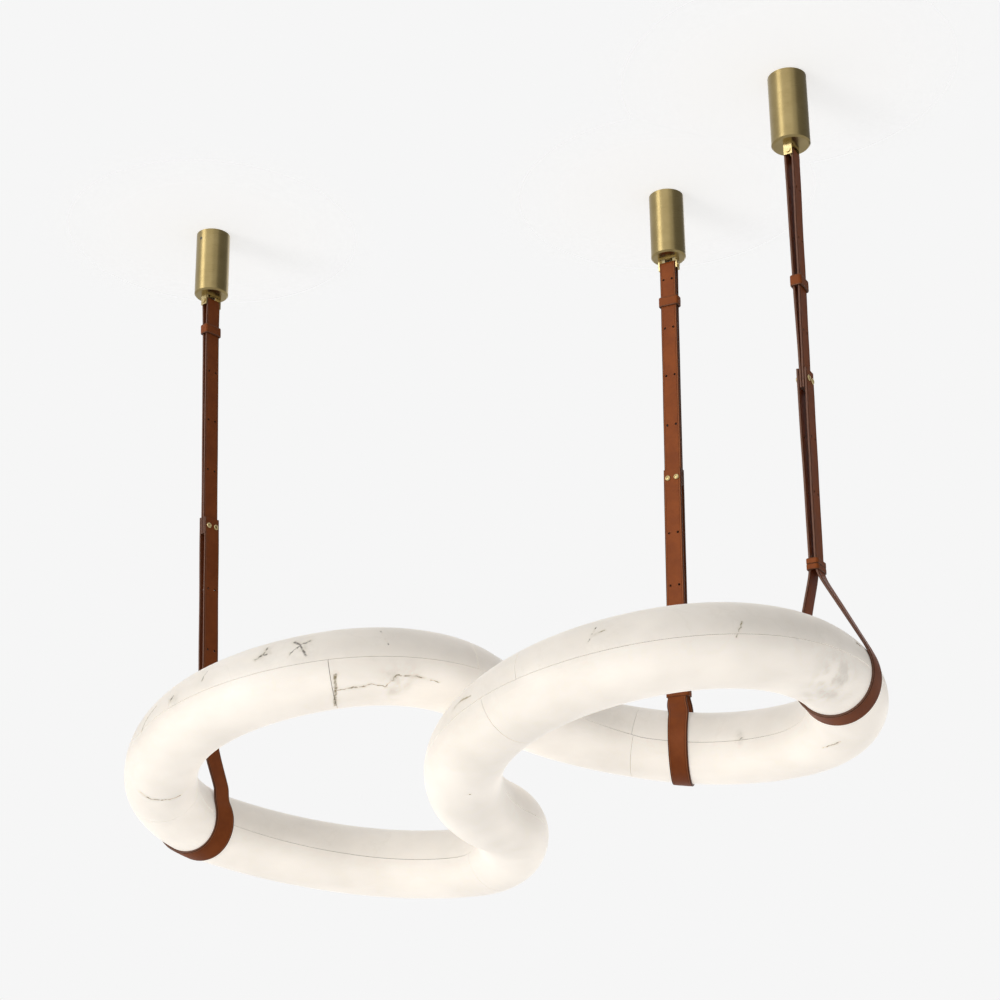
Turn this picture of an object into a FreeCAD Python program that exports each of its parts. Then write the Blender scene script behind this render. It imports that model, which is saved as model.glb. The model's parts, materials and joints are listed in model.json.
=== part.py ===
"""Alabaster loop pendant: one stone tube bent into two crossing loops, slung in three doubled
leather straps below three brass ceiling canopies. Millimetres, +Z up, the ceiling is at Z = 0,
X runs to the right and Y away from the viewer. The origin is on the ceiling, above the middle canopy.
"""
import FreeCAD, Part
import math
import os
from string import ascii_lowercase
from FreeCAD import Placement, Rotation, Vector

UP = Vector(0, 0, 1)
doc = FreeCAD.newDocument("alabaster_loop_pendant")

# ---------------------------------------------------------------- driving dimensions

DIMENSIONS = {
    # the stone tube
    "tube_diameter": 120,
    "stone_wall": 10,
    "stone_joint": 0.8,
    # the frame and light inside it
    "frame_tube_diameter": 25,
    "frame_tube_wall": 2,
    "frame_sleeve_gap": 0.3,
    "spacer_thickness": 8,
    "spacer_pitch": 230,
    "light_strip_thickness": 3,
    "light_strip_span": 80,
    # the ceiling canopies
    "canopy_diameter": 63,
    "canopy_height": 126,
    "canopy_wall": 2.5,
    "canopy_floor": 4,
    "canopy_chamfer": 3,
    "plate_floor": 6,
    "plate_depth": 24,
    "plate_rim": 3.5,
    "plate_clearance": 0.3,
    "plate_hole_spacing": 39,
    "plate_hole_diameter": 4.5,
    "cable_entry_diameter": 7,
    "cable_entry_x": 8,
    "cable_entry_y": -14,
    "grub_screw_diameter": 6,
    "grub_screw_drop": 17,
    "stem_diameter": 8,
    "stem_clearance": 0.1,
    "stem_head_diameter": 14,
    "stem_head_height": 3,
    # the bracket that the strap hangs from
    "bracket_plate": 2.5,
    "bracket_drop": 23,
    "bracket_depth": 14,
    "pin_diameter": 5,
    "pin_head_diameter": 9,
    "pin_head_height": 1.5,
    "pin_drop": 15,
    "roller_diameter": 8,
    "roller_clearance": 0.05,
    "roller_end_gap": 0.3,
    # the leather
    "leather": 4,
    "strap_top_width": 30,
    "strap_wrap_width": 35,
    "strap_side_gap": 0.5,
    "strap_half_gap": 2.2,
    "layer_gap": 0.3,
    "strap_overlap": 16,
    "keeper_leather": 2.5,
    "keeper_height": 18,
    "keeper_rise": 2,
    "keeper_clearance": 0.6,
    "stud_spacing": 16,
    "stud_shank": 5,
    "stud_head": 10,
    "stud_head_height": 2.5,
    "stud_hole_clearance": 0.25,
    # the electrical gear in the middle canopy
    "driver_length": 26,
    "driver_width": 14,
    "driver_height": 80,
    "terminal_length": 14,
    "terminal_width": 12,
    "terminal_height": 18,
    "gear_stem_gap": 2,
}

# The centreline of the tube passes through these places: x, y, z, heading and climb in degrees.
BENDS = {
    "right_end": (197, -346, -1025, -113.5, 11),
    "front_bend": (-276, -486, -1065, 134, -12.5),
    "low_crossing": (-325, -54, -1158, 61, -3.5),
    "back_curl": (-365, 180, -1197, 147, 0),
    "left_back": (-810, 156, -1140, -148.5, 13),
    "left_front": (-800, -185, -1022, -49.5, 12.5),
    "high_crossing": (-361, -177, -970, 60, -6),
    "right_back": (-56, 35, -1023, -22.5, -12.5),
}
BEND_TERMS = ("x", "y", "z", "heading", "climb")
SHORTEST_ARC = 0.5

# Cross joints of the stone shells, as lengths along the centreline from the right end.
LOWER_JOINTS = (20, 620, 1277, 1960, 2477, 3115)
UPPER_JOINTS = (560, 1143, 1830, 2230, 2676, 3110, 3640)

# Each suspension: the canopy's place and the heading of its grub screw, the upper keeper's place below
# the pin, the heights and offset of what hangs lower, and how the sling lies round the tube. The left
# sling is on the tightest bend, so it has the most room there. The slant takes the sling's front side
# one way along the tube and its back side the other way.
SUSPENSIONS = {
    "left": {"x": -854, "y": 125, "grub": -127, "lean": 0, "keeper": -59, "studs": -594, "foot": -985,
             "offset": -35, "wrap_gap": 2.7, "wrap_shift": -1.8, "slant": -0.12},
    "mid": {"x": 0, "y": 0, "grub": 53, "lean": -18, "keeper": -72, "studs": -553, "foot": -950,
            "offset": 0, "wrap_gap": 1.6, "wrap_shift": 0, "slant": -0.25},
    "right": {"x": 165, "y": -372, "grub": 53, "lean": 0, "keeper": -231, "studs": -538, "foot": -853,
              "offset": 3, "wrap_gap": 1.8, "wrap_shift": 0, "slant": 0.03},
}

sheet = doc.addObject("Spreadsheet::Sheet", "Dimensions")
rows = dict(DIMENSIONS)
for bend, terms in BENDS.items():
    rows.update({bend + "_" + term: value for term, value in zip(BEND_TERMS, terms)})
for kind, stations in (("lower_joint_", LOWER_JOINTS), ("upper_joint_", UPPER_JOINTS)):
    rows.update({kind + letter: value for letter, value in zip(ascii_lowercase, stations)})
for side, places in SUSPENSIONS.items():
    rows.update({side + "_" + place: value for place, value in places.items()})
for number, (alias, value) in enumerate(rows.items(), start=1):
    sheet.set("A%d" % number, alias.replace("_", " "))
    sheet.set("B%d" % number, str(value))
    sheet.setAlias("B%d" % number, alias)
doc.recompute()


def size(alias):
    """The value of one named cell."""
    return float(sheet.get(alias))


# ---------------------------------------------------------------- document helpers

PARTS = {}


def add(kind, label, placement=None, **sizes):
    """Add one document object. Text is a formula of the sheet's names, anything else is set as it is."""
    obj = doc.addObject(kind, label)
    obj.Label = label
    for name, value in sizes.items():
        if isinstance(value, str):
            obj.setExpression(name, value.replace("$", "Dimensions."))
        else:
            setattr(obj, name, value)
    if placement is not None:
        obj.Placement = placement
    return obj


def cylinder(label, place, radius, height):
    return add("Part::Cylinder", label, place, Radius=radius, Height=height)


def box(label, place, length, width, height):
    return add("Part::Box", label, place, Length=length, Width=width, Height=height)


def join(label, shapes):
    return add("Part::MultiFuse", label, Shapes=shapes)


def cut(label, base, tools):
    tool = tools[0] if len(tools) == 1 else join(label + "_cutters", tools)
    return add("Part::Cut", label, Base=base, Tool=tool)


def feature(label, shape):
    """A piece that follows the bent tube, made with Part's own functions."""
    obj = doc.addObject("Part::Feature", label)
    obj.Label = label
    obj.Shape = shape
    return obj


def keep(obj):
    """Mark an object as one real piece of the pendant."""
    PARTS[obj.Label] = obj
    return obj


# ---------------------------------------------------------------- the centreline of the tube

class Bend:
    """One circular arc of the centreline, from its start point and tangent to its end point."""

    def __init__(self, start, tangent, end):
        chord = end - start
        half_turn = math.acos(min(1.0, chord.dot(tangent) / chord.Length))
        self.start = start
        self.tangent = tangent
        self.normal = (chord - tangent * chord.dot(tangent)).normalize()
        self.radius = chord.Length / (2 * math.sin(half_turn))
        self.centre = start + self.normal * self.radius
        self.axis = tangent.cross(self.normal)
        self.length = self.radius * 2 * half_turn

    def point(self, run):
        turn = run / self.radius
        return self.centre + (self.tangent * math.sin(turn) - self.normal * math.cos(turn)) * self.radius

    def direction(self, run):
        turn = run / self.radius
        return self.tangent * math.cos(turn) + self.normal * math.sin(turn)

    def piece(self, first, last):
        return Bend(self.point(first), self.direction(first), self.point(last))

    def edge(self):
        middle = self.point(self.length / 2)
        return Part.Arc(self.start, middle, self.point(self.length)).toShape()


def bend_place(bend):
    """Centreline point and unit tangent at one named bend."""
    x, y, z, heading, climb = (size(bend + "_" + term) for term in BEND_TERMS)
    level = math.cos(math.radians(climb))
    tangent = Vector(level * math.cos(math.radians(heading)),
                     level * math.sin(math.radians(heading)),
                     math.sin(math.radians(climb)))
    return Vector(x, y, z), tangent


def closed_centreline():
    """Two tangent arcs from each bend to the next, all the way round."""
    places = [bend_place(bend) for bend in BENDS]
    arcs = []
    for (start, leaving), (end, arriving) in zip(places, places[1:] + places[:1]):
        reach = end - start
        both = leaving + arriving
        spread = 2 * (1 - leaving.dot(arriving))
        forward = reach.dot(both)
        arm = (math.sqrt(forward ** 2 + spread * reach.dot(reach)) - forward) / spread
        middle = (start + leaving * arm + end - arriving * arm) * 0.5
        first = Bend(start, leaving, middle)
        arcs += [first, Bend(middle, first.direction(first.length), end)]
    return arcs


CENTRELINE = closed_centreline()
TOTAL_LENGTH = sum(arc.length for arc in CENTRELINE)


def run_between(first, last):
    """The arcs of the centreline between two lengths along it."""
    if last <= first:
        last += TOTAL_LENGTH
    pieces = []
    start = 0.0
    for arc in CENTRELINE * 2:
        low = max(first, start)
        high = min(last, start + arc.length)
        if high - low > SHORTEST_ARC:
            pieces.append(arc.piece(low - start, high - start))
        start += arc.length
    return pieces


def ring_sector(arc, outer, inner):
    """A bent tube round one arc, as an exact piece of a torus."""
    annulus = Part.Face(Part.Wire(Part.Circle(arc.start, arc.tangent, outer).toShape()))
    annulus = annulus.cut(Part.Face(Part.Wire(Part.Circle(arc.start, arc.tangent, inner).toShape())))
    return annulus.revolve(arc.centre, arc.axis, math.degrees(arc.length / arc.radius))


def bent_tube(arcs, outer, inner):
    """A bent tube round a chain of arcs, as one solid."""
    sectors = [ring_sector(arc, outer, inner) for arc in arcs]
    if len(sectors) == 1:
        return sectors[0].Solids[0]
    return sectors[0].fuse(sectors[1:]).removeSplitter().Solids[0]


# ---------------------------------------------------------------- the stone shells

TUBE_RADIUS = size("tube_diameter") / 2
BORE_RADIUS = TUBE_RADIUS - size("stone_wall")
HALF_JOINT = size("stone_joint") / 2


def side_block(arcs, side):
    """All the space above (side 1) or below (side -1) the level seam along a chain of arcs."""
    reach = TUBE_RADIUS + size("stone_wall")
    ahead = arcs[-1]
    edges = [Part.LineSegment(arcs[0].start - arcs[0].tangent * reach, arcs[0].start).toShape()]
    edges += [arc.edge() for arc in arcs]
    end = ahead.point(ahead.length)
    edges.append(Part.LineSegment(end, end + ahead.direction(ahead.length) * reach).toShape())
    origin = arcs[0].start - arcs[0].tangent * reach
    across = arcs[0].tangent.cross(UP).normalize() * reach
    near = UP * (HALF_JOINT * side)
    far = UP * (2 * reach * side)
    corners = [origin + across + near, origin - across + near, origin - across + far, origin + across + far]
    sweep = Part.BRepOffsetAPI.MakePipeShell(Part.Wire(edges))
    sweep.setBiNormalMode(UP)
    sweep.add(Part.makePolygon(corners + corners[:1]), False, False)
    sweep.build()
    sweep.makeSolid()
    return sweep.shape()


def stone_shells(name, joints, side):
    """The half-round shells of one side of the tube, from each cross joint to the next."""
    for number, (first, last) in enumerate(zip(joints, joints[1:] + joints[:1]), start=1):
        arcs = run_between(first + HALF_JOINT, last - HALF_JOINT)
        tube = bent_tube(arcs, TUBE_RADIUS, BORE_RADIUS)
        shell = tube.common(side_block(arcs, side))
        keep(feature("%s_stone_shell_%d" % (name, number), max(shell.Solids, key=lambda s: s.Volume)))


stone_shells("lower", [size("lower_joint_" + letter) for letter, _ in zip(ascii_lowercase, LOWER_JOINTS)], -1)
stone_shells("upper", [size("upper_joint_" + letter) for letter, _ in zip(ascii_lowercase, UPPER_JOINTS)], 1)

# ---------------------------------------------------------------- the frame and light inside the stone

FRAME_RADIUS = size("frame_tube_diameter") / 2
SLEEVE_GAP = size("frame_sleeve_gap")


def spacer_stations():
    """Evenly spaced lengths along the centreline, close to the wanted pitch."""
    count = round(TOTAL_LENGTH / size("spacer_pitch"))
    return [TOTAL_LENGTH * i / count for i in range(count)]


def inner_frame():
    """Bent steel tubes, butted end to end inside each spacer."""
    bore = FRAME_RADIUS - size("frame_tube_wall")
    stations = spacer_stations()[::2]
    tubes = [bent_tube(run_between(first, last), FRAME_RADIUS, bore)
             for first, last in zip(stations, stations[1:] + stations[:1])]
    keep(feature("frame_tubes", Part.makeCompound(tubes)))


def spacers():
    """Discs that centre the stone shells on the frame."""
    half = size("spacer_thickness") / 2
    discs = []
    for station in spacer_stations():
        arc = run_between(station, station + 1)[0]
        foot = arc.start - arc.tangent * half
        disc = Part.makeCylinder(BORE_RADIUS - SLEEVE_GAP, 2 * half, foot, arc.tangent)
        hole = Part.makeCylinder(FRAME_RADIUS + SLEEVE_GAP, 2 * half, foot, arc.tangent)
        discs.append(disc.cut(hole))
    keep(feature("shell_spacers", Part.makeCompound(discs)))


def light_strip(arc):
    """A flexible light strip that lies along the top of the frame tube."""
    inner = FRAME_RADIUS + SLEEVE_GAP
    outer = inner + size("light_strip_thickness")
    across = arc.tangent.cross(UP).normalize()
    over = across.cross(arc.tangent).normalize()
    half_span = math.radians(size("light_strip_span")) / 2

    def spot(radius, angle):
        return arc.start + across * (radius * math.sin(angle)) + over * (radius * math.cos(angle))

    outline = Part.Wire([
        Part.Arc(spot(outer, -half_span), spot(outer, 0), spot(outer, half_span)).toShape(),
        Part.LineSegment(spot(outer, half_span), spot(inner, half_span)).toShape(),
        Part.Arc(spot(inner, half_span), spot(inner, 0), spot(inner, -half_span)).toShape(),
        Part.LineSegment(spot(inner, -half_span), spot(outer, -half_span)).toShape()])
    return Part.Face(outline).revolve(arc.centre, arc.axis, math.degrees(arc.length / arc.radius))


def light_strips():
    """One strip on each arc between two spacers."""
    end_gap = size("spacer_thickness") / 2 + SLEEVE_GAP
    stations = spacer_stations()
    strips = []
    for first, last in zip(stations, stations[1:] + [TOTAL_LENGTH]):
        arcs = run_between(first + end_gap, last - end_gap)
        strips += [light_strip(arc.piece(SLEEVE_GAP, arc.length - SLEEVE_GAP)).Solids[0]
                   for arc in arcs if arc.length > 4 * end_gap]
    keep(feature("light_strips", Part.makeCompound(strips)))


inner_frame()
spacers()
light_strips()

# ---------------------------------------------------------------- the ceiling canopies


def down(x, y, z):
    return Placement(Vector(x, y, z), Rotation())


def canopy(side):
    """The ceiling plate, the turned brass cover with its grub screw, and the stem through both."""
    x, y = size(side + "_x"), size(side + "_y")
    floor = -size("canopy_height")
    rim = floor + size("canopy_chamfer")

    body = join(side + "_cover_blank", [
        add("Part::Cone", side + "_cover_chamfer", down(x, y, floor), Height="$canopy_chamfer",
            Radius1="$canopy_diameter / 2 - $canopy_chamfer", Radius2="$canopy_diameter / 2"),
        cylinder(side + "_cover_wall", down(x, y, rim), "$canopy_diameter / 2",
                 "$canopy_height - $canopy_chamfer")])
    grub_height = -size("grub_screw_drop")
    grub_inside = size("canopy_diameter") / 2 - size("canopy_wall") - size("plate_clearance")
    heading = math.radians(size(side + "_grub"))
    outward = Vector(math.cos(heading), math.sin(heading), 0)
    grub_place = Placement(Vector(x, y, grub_height) + outward * grub_inside, Rotation(UP, outward))
    keep(cut(side + "_canopy_cover", body, [
        cylinder(side + "_cover_bore", down(x, y, floor + size("canopy_floor")),
                 "$canopy_diameter / 2 - $canopy_wall", "$canopy_height"),
        cylinder(side + "_cover_stem_hole", down(x, y, 2 * floor), "$stem_diameter / 2 + $stem_clearance",
                 "2 * $canopy_height"),
        cylinder(side + "_cover_grub_hole", grub_place, "$grub_screw_diameter / 2 + $stem_clearance",
                 "2 * $canopy_wall + $plate_clearance")]))
    keep(cylinder(side + "_grub_screw", grub_place, "$grub_screw_diameter / 2",
                  "$canopy_wall + $plate_clearance - $stem_clearance"))

    plate_radius = "$canopy_diameter / 2 - $canopy_wall - $plate_clearance"
    holes = [cylinder("%s_plate_hole_%d" % (side, number),
                      down(x + sign * size("plate_hole_spacing") / 2, y, floor),
                      "$plate_hole_diameter / 2", "$canopy_height")
             for number, sign in ((1, -1), (2, 1))]
    if side == "mid":
        holes.append(cylinder("mid_plate_cable_entry",
                              down(x + size("cable_entry_x"), y + size("cable_entry_y"), floor),
                              "$cable_entry_diameter / 2", "$canopy_height"))
    keep(cut(side + "_ceiling_plate",
             cylinder(side + "_plate_blank", down(x, y, -size("plate_depth")), plate_radius, "$plate_depth"),
             [cylinder(side + "_plate_hollow", down(x, y, -size("plate_depth")),
                       plate_radius + " - $plate_rim", "$plate_depth - $plate_floor"),
              cylinder(side + "_plate_stem_hole", down(x, y, floor), "$stem_diameter / 2 + $stem_clearance",
                       "$canopy_height")] + holes))

    under_web = floor - size("bracket_plate")
    keep(join(side + "_stem", [
        cylinder(side + "_stem_rod", down(x, y, under_web), "$stem_diameter / 2",
                 "$canopy_height + $bracket_plate"),
        cylinder(side + "_stem_head", down(x, y, under_web - size("stem_head_height")),
                 "$stem_head_diameter / 2", "$stem_head_height")]))


def electrical_gear():
    """A slim driver and a terminal block, screwed up under the middle ceiling plate."""
    x, y = size("mid_x"), size("mid_y")
    side_gap = size("stem_diameter") / 2 + size("gear_stem_gap")
    keep(box("light_driver", down(x - size("driver_length") / 2, y + side_gap,
                                  -size("plate_floor") - size("driver_height")),
             "$driver_length", "$driver_width", "$driver_height"))
    keep(box("terminal_block", down(x - size("terminal_length") + size("gear_stem_gap"),
                                    y - side_gap - size("terminal_width"),
                                    -size("plate_floor") - size("terminal_height")),
             "$terminal_length", "$terminal_width", "$terminal_height"))


# ---------------------------------------------------------------- the brackets, rollers and straps

class Hanger:
    """The upright line of one strap: where it hangs, where it meets the tube, and its directions.

    An upright cut through the sloping tube is an ellipse, and squash is its width over its height.
    """

    def __init__(self, side):
        self.side = side
        self.axis = Vector(size(side + "_x"), size(side + "_y"), 0)
        self.lean = size(side + "_lean")
        self.offset = size(side + "_offset")
        self.pin_height = -size("canopy_height") - size("pin_drop")
        self.foot_height = size(side + "_foot")
        self.tube_centre, self.tube_direction = self.nearest_on_tube()
        self.along = Vector(self.tube_direction.x, self.tube_direction.y, 0)
        self.squash = self.along.Length
        self.along.normalize()
        if self.along.x < 0:
            self.along = self.along * -1
            self.tube_direction = self.tube_direction * -1
        self.across = UP.cross(self.along)
        self.turn = Rotation(UP, math.degrees(math.atan2(self.along.y, self.along.x)))
        self.tube_across = (self.tube_centre - self.axis).dot(self.across) + size(side + "_wrap_shift")

    def nearest_on_tube(self):
        """The centreline point that is nearest, in plan, to where the leaning strap arrives."""
        shift = Vector(self.lean, 0, 0)
        best = None
        for arc in CENTRELINE:
            steps = int(arc.length)
            for step in range(steps):
                run = arc.length * step / steps
                point = arc.point(run)
                apart = point - self.axis - shift
                apart.z = 0
                if best is None or apart.Length < best[0]:
                    best = (apart.Length, point, arc.direction(run))
        return best[1], best[2]

    def along_at(self, height):
        """How far the strap has moved along the pin's direction at one height."""
        drop = (self.pin_height - height) / (self.pin_height - self.tube_centre.z)
        return drop * (self.tube_centre - self.axis).dot(self.along)

    def across_at(self, height):
        """How far the strap's middle has moved across the pin at one height."""
        drop = (self.pin_height - height) / (self.pin_height - self.foot_height)
        return self.offset * min(1.0, drop)

    def spot(self, across, height):
        """A point given by its place across the pin and its height."""
        return self.axis + self.along * self.along_at(height) + self.across * across + UP * height

    def slanted(self, across, height):
        """A point of the sling, which runs a little along the tube as it goes round it."""
        share = (self.foot_height - height) / (self.foot_height - self.touch_height)
        slant = size(self.side + "_slant") * (across - self.tube_across) * min(1.0, max(0.0, share))
        return self.spot(across, height) + self.tube_direction * (slant / self.squash)

    def width_at(self, height):
        drop = (self.pin_height - height) / (self.pin_height - self.tube_centre.z)
        growth = size("strap_wrap_width") - size("strap_top_width")
        return size("strap_top_width") + growth * min(1.0, max(0.0, drop))

    def upright(self, low, high):
        """Rotation whose Z axis follows the strap between two heights, and its X axis the pin."""
        rise = self.spot(self.across_at(high), high) - self.spot(self.across_at(low), low)
        return Rotation(self.along, Vector(), rise, "ZXY")


def bracket(hanger):
    """The folded plate bracket, its riveted pin, and the roller that the strap hangs over."""
    side = hanger.side
    inside = size("strap_top_width") + 2 * size("strap_side_gap")
    outside = inside + 2 * size("bracket_plate")
    half_depth = size("bracket_depth") / 2
    web_top = -size("canopy_height")
    pin_height = hanger.pin_height

    def local(x, y, z):
        return Placement(hanger.axis + hanger.turn.multVec(Vector(x, y, 0)) + UP * z, hanger.turn)

    def along_pin(start):
        spin = hanger.turn.multiply(Rotation(Vector(0, 1, 0), 90))
        return Placement(hanger.axis + hanger.along * start + UP * pin_height, spin)

    outer_width = "$strap_top_width + 2 * $strap_side_gap + 2 * $bracket_plate"
    keep(cut(side + "_bracket",
             box(side + "_bracket_blank", local(-outside / 2, -half_depth, web_top - size("bracket_drop")),
                 outer_width, "$bracket_depth", "$bracket_drop"),
             [box(side + "_bracket_mouth",
                  local(-inside / 2, -2 * half_depth, web_top - size("bracket_drop") - half_depth),
                  outer_width + " - 2 * $bracket_plate", "2 * $bracket_depth",
                  "$bracket_drop - $bracket_plate + $bracket_depth / 2"),
              cylinder(side + "_bracket_pin_hole", along_pin(-outside),
                       "$pin_diameter / 2 + $roller_clearance", "2 * (%s)" % outer_width),
              cylinder(side + "_bracket_stem_hole", local(0, 0, 2 * web_top),
                       "$stem_diameter / 2 + $stem_clearance", "2 * $canopy_height")]))
    head = size("pin_head_height")
    gap = size("roller_clearance")
    keep(join(side + "_pin", [
        cylinder(side + "_pin_shank", along_pin(-outside / 2 - gap), "$pin_diameter / 2",
                 outer_width + " + 2 * $roller_clearance"),
        cylinder(side + "_pin_head_1", along_pin(-outside / 2 - gap - head), "$pin_head_diameter / 2",
                 "$pin_head_height"),
        cylinder(side + "_pin_head_2", along_pin(outside / 2 + gap), "$pin_head_diameter / 2",
                 "$pin_head_height")]))
    roller_start = -inside / 2 + size("roller_end_gap")
    keep(cut(side + "_roller",
             cylinder(side + "_roller_blank", along_pin(roller_start), "$roller_diameter / 2",
                      "$strap_top_width + 2 * $strap_side_gap - 2 * $roller_end_gap"),
             [cylinder(side + "_roller_bore", along_pin(-outside), "$pin_diameter / 2 + $roller_clearance",
                       "2 * (%s)" % outer_width)]))


def leather_strip(hanger, route, place, level_from):
    """A strip of leather along a route of (across, height) points, with its own width at each height.

    Place turns each (across, height) into a point. Below level_from the strip's width turns from
    level to the slope of the stone tube, which it has reached where it meets the tube.
    """
    half_leather = size("leather") / 2
    points = [place(across, height) for across, height in route]
    sections = []
    for i, (point, (_, height)) in enumerate(zip(points, route)):
        ahead = points[min(i + 1, len(points) - 1)] - points[max(i - 1, 0)]
        width = hanger.along
        if height < level_from:
            share = min(1.0, (level_from - height) / (level_from - hanger.touch_height))
            width = hanger.along * (1 - share) + hanger.tube_direction * share
        width = (width - ahead * (width.dot(ahead) / ahead.dot(ahead))).normalize()
        out = ahead.cross(width).normalize() * half_leather
        side = width * (hanger.width_at(height) / 2)
        corners = [point + side + out, point - side + out, point - side - out, point + side - out]
        sections.append(Part.makePolygon(corners + corners[:1]))
    return Part.makeLoft(sections, True, True)


def arc_points(centre, radius, first, last, steps, squash=1.0):
    """Points round an upright ellipse, with angles in degrees from across. Its height is 1 / squash."""
    angles = [math.radians(first + (last - first) * i / steps) for i in range(steps + 1)]
    return [(centre[0] + radius * math.cos(a), centre[1] + radius * math.sin(a) / squash) for a in angles]


def strap_layers(hanger, height, half_space):
    """The two across places of a doubled strap at one height, back layer first."""
    middle = hanger.across_at(height)
    reach = half_space + size("leather") / 2
    return middle + reach, middle - reach


def upper_strap_route(hanger):
    """From the back end, up over the roller, and down to the front end."""
    loop = size("roller_diameter") / 2 + size("layer_gap") + size("leather") / 2
    pinched = size("layer_gap") / 2
    heights = [(hanger.end_height, pinched), (hanger.stud_height + size("strap_overlap"), pinched),
               (hanger.keeper_height, size("strap_half_gap"))]
    back = [(strap_layers(hanger, z, gap)[0], z) for z, gap in heights]
    front = [(strap_layers(hanger, z, gap)[1], z) for z, gap in reversed(heights)]
    return back + arc_points((0, hanger.pin_height), loop, 0, 180, 12) + front


def wrap_tangent(hanger, start, wrap_radius, side):
    """Angle, from across, at which a straight run from start touches the wrap on one side."""
    centre = (hanger.tube_across, hanger.tube_centre.z)
    reach = (start[0] - centre[0], (start[1] - centre[1]) * hanger.squash)
    distance = math.hypot(*reach)
    return math.degrees(math.atan2(reach[1], reach[0]) - side * math.acos(wrap_radius / distance))


def sling_route(hanger):
    """From the front end, down and round under the tube, and up to the back end."""
    outside = size("layer_gap") * 1.5 + size("leather")
    wrap_radius = TUBE_RADIUS + size(hanger.side + "_wrap_gap") + size("leather") / 2
    spread_height = hanger.end_height - size("strap_overlap")
    heights = [(hanger.stud_height + size("strap_overlap"), outside), (spread_height, outside),
               (hanger.foot_height, size("strap_half_gap"))]
    front = [(strap_layers(hanger, z, gap)[1], z) for z, gap in heights]
    back = [(strap_layers(hanger, z, gap)[0], z) for z, gap in reversed(heights)]
    centre = (hanger.tube_across, hanger.tube_centre.z)
    first = wrap_tangent(hanger, front[-1], wrap_radius, -1)
    last = wrap_tangent(hanger, back[0], wrap_radius, 1)
    if first < 0:
        first += 360
    if last > 90:
        last -= 360
    highest = max(math.sin(math.radians(first)), math.sin(math.radians(last)))
    hanger.touch_height = hanger.tube_centre.z + wrap_radius * highest / hanger.squash
    return front + arc_points(centre, wrap_radius, first, 360 + last, 30, hanger.squash) + back


def strap(hanger):
    """The upper strap, the sling below it, the two stud screws that join them, and the keepers."""
    side = hanger.side
    hanger.keeper_height = hanger.pin_height + size(side + "_keeper")
    hanger.stud_height = size(side + "_studs")
    hanger.end_height = hanger.stud_height - size("strap_overlap")
    middle = hanger.spot(hanger.across_at(hanger.stud_height), hanger.stud_height)
    depth = 3 * size("layer_gap") + 4 * size("leather")
    half_hole = size("stud_shank") / 2 + size("stud_hole_clearance")
    through = hanger.across
    gap = size("layer_gap") / 2
    head = size("stud_head_height")
    studs, holes = [], []
    for sign in (-1, 1):
        place = middle + hanger.along * (sign * size("stud_spacing") / 2) - through * (depth / 2)
        shank = Part.makeCylinder(size("stud_shank") / 2, depth + 2 * gap, place - through * gap, through)
        for foot in (place - through * (gap + head), place + through * (depth + gap)):
            shank = shank.fuse(Part.makeCylinder(size("stud_head") / 2, head, foot, through))
        studs.append(shank.removeSplitter().Solids[0])
        holes.append(Part.makeCylinder(half_hole, 3 * depth, place - through * depth, through))
    upper = leather_strip(hanger, upper_strap_route(hanger), hanger.spot, hanger.foot_height)
    sling = leather_strip(hanger, sling_route(hanger), hanger.slanted, hanger.foot_height)
    for hole in holes:
        upper = upper.cut(hole)
        sling = sling.cut(hole)
    keep(feature(side + "_upper_strap", upper.Solids[0]))
    keep(feature(side + "_sling_strap", sling.Solids[0]))
    keep(feature(side + "_strap_studs", Part.makeCompound(studs)))
    keeper(hanger, "upper", hanger.keeper_height)
    keeper(hanger, "lower", hanger.foot_height + size("keeper_rise") + size("keeper_height") / 2)


def keeper(hanger, name, height):
    """A leather loop that holds the two layers of a strap together and slides along them."""
    label = "%s_%s_keeper" % (hanger.side, name)
    half = size("keeper_height") / 2
    clearance = size("keeper_clearance")
    length = hanger.width_at(height - half) + 2 * clearance
    width = 2 * (size("strap_half_gap") + size("leather") + clearance)
    middle = hanger.spot(hanger.across_at(height), height)
    stand = hanger.upright(height - half, height + half)

    def block(grow, stretch):
        corner = Vector(-length / 2 - grow, -width / 2 - grow, -half - stretch)
        shape = Part.makeBox(length + 2 * grow, width + 2 * grow, 2 * (half + stretch), corner)
        shape.Placement = Placement(middle, stand).multiply(shape.Placement)
        return shape

    keep(feature(label, block(size("keeper_leather"), 0).cut(block(0, half)).Solids[0]))


for side in SUSPENSIONS:
    canopy(side)
    hanger = Hanger(side)
    bracket(hanger)
    strap(hanger)
electrical_gear()

# ---------------------------------------------------------------- checks and export

doc.recompute()
for obj in doc.Objects:
    if "Invalid" in obj.State or "Error" in obj.State:
        raise RuntimeError("failed: " + obj.Label)
for label, obj in PARTS.items():
    if obj.Shape.isNull() or not obj.Shape.isValid() or not obj.Shape.Solids:
        raise RuntimeError("not a valid solid: " + label)

os.makedirs("parts", exist_ok=True)
for label, obj in PARTS.items():
    obj.Shape.exportStep("parts/" + label + ".step")
print("centreline %.0f mm, %d pieces" % (TOTAL_LENGTH, len(PARTS)))
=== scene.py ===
"""Looks for the strap-hung alabaster loop pendant. Metres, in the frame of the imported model."""
import json
import math

import bmesh
import bpy
from mathutils import Matrix, Vector, noise
from mathutils.bvhtree import BVHTree


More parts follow.
